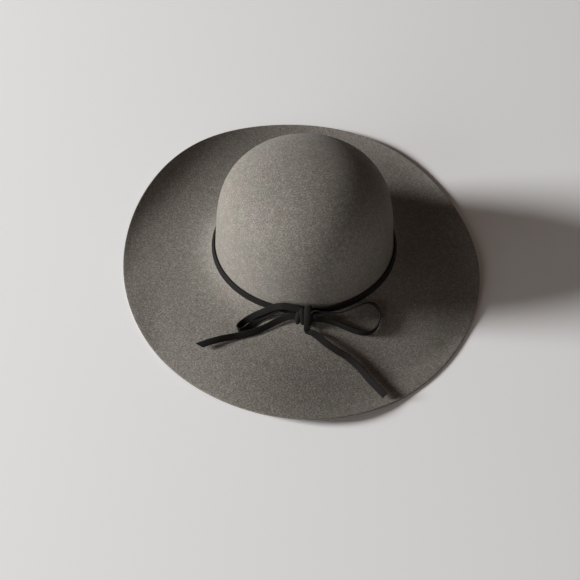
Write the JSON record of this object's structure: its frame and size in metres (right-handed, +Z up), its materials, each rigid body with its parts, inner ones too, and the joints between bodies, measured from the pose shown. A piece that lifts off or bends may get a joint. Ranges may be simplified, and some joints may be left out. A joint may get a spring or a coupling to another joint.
{
  "type": "wide brim felt hat",
  "caption": "Soft wide-brimmed felt hat with a round uncreased crown and a narrow dark lace tied round the crown's foot in a bow.",
  "frame": {"origin": "on the floor under the middle of the brim's outline, brim down", "axes": "+Z up, +X to the wearer's left, -Y towards the bow, which is taken as the front"},
  "size_m": [0.3917, 0.4029, 0.1509],
  "materials": {
    "felt": "matt heathered wool felt",
    "lace": "matt suede"
  },
  "bodies": {
    "root": {"felt_body": "felt", "band_strap": "lace", "bow_knot": "lace", "bow_loop_left": "lace", "bow_loop_right": "lace", "bow_tail_left": "lace", "bow_tail_right": "lace"}
  },
  "joints": []
}
